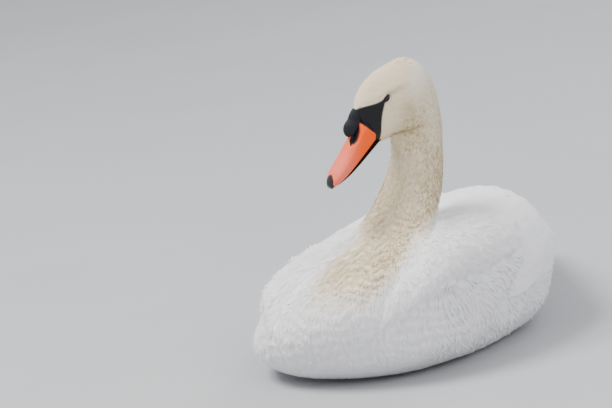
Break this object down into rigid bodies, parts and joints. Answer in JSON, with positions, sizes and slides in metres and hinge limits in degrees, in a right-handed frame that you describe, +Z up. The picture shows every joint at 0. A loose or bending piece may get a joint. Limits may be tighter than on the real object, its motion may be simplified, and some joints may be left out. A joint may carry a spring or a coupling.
{
  "type": "mute swan",
  "caption": "Life-size mute swan lying on its belly with folded wings, its neck drawn up and its head turned and bill lowered; a still display model of a large white waterbird",
  "frame": {"origin": "on the floor under the middle of the bounding box", "axes": "+Z up; +Y from the breast to the tail, so the bird faces -Y; +X to the bird's own left"},
  "size_m": [0.4022, 0.694, 0.3979],
  "materials": {
    "white_plumage": "matte white feathers, stained cream on the head, neck and breast",
    "eye": "wet, very dark brown",
    "orange_bill": "satin horn, orange at the base and pinker to the tip",
    "black_skin": "matte black bare skin",
    "claw": "satin black horn"
  },
  "bodies": {
    "root": {"trunk": "white_plumage", "neck_lower": "white_plumage", "neck_upper": "white_plumage", "head": "white_plumage", "wing_left": "white_plumage", "wing_right": "white_plumage", "tail": "white_plumage", "eye_left": "eye", "eye_right": "eye", "bill_upper": "orange_bill", "bill_nail": "black_skin", "bill_lower": "black_skin", "bill_knob": "black_skin", "leg_left": "black_skin", "leg_right": "black_skin", "foot_left": "black_skin", "foot_right": "black_skin", "claw_inner_left": "claw", "claw_middle_left": "claw", "claw_outer_left": "claw", "claw_inner_right": "claw", "claw_middle_right": "claw", "claw_outer_right": "claw"}
  },
  "joints": []
}
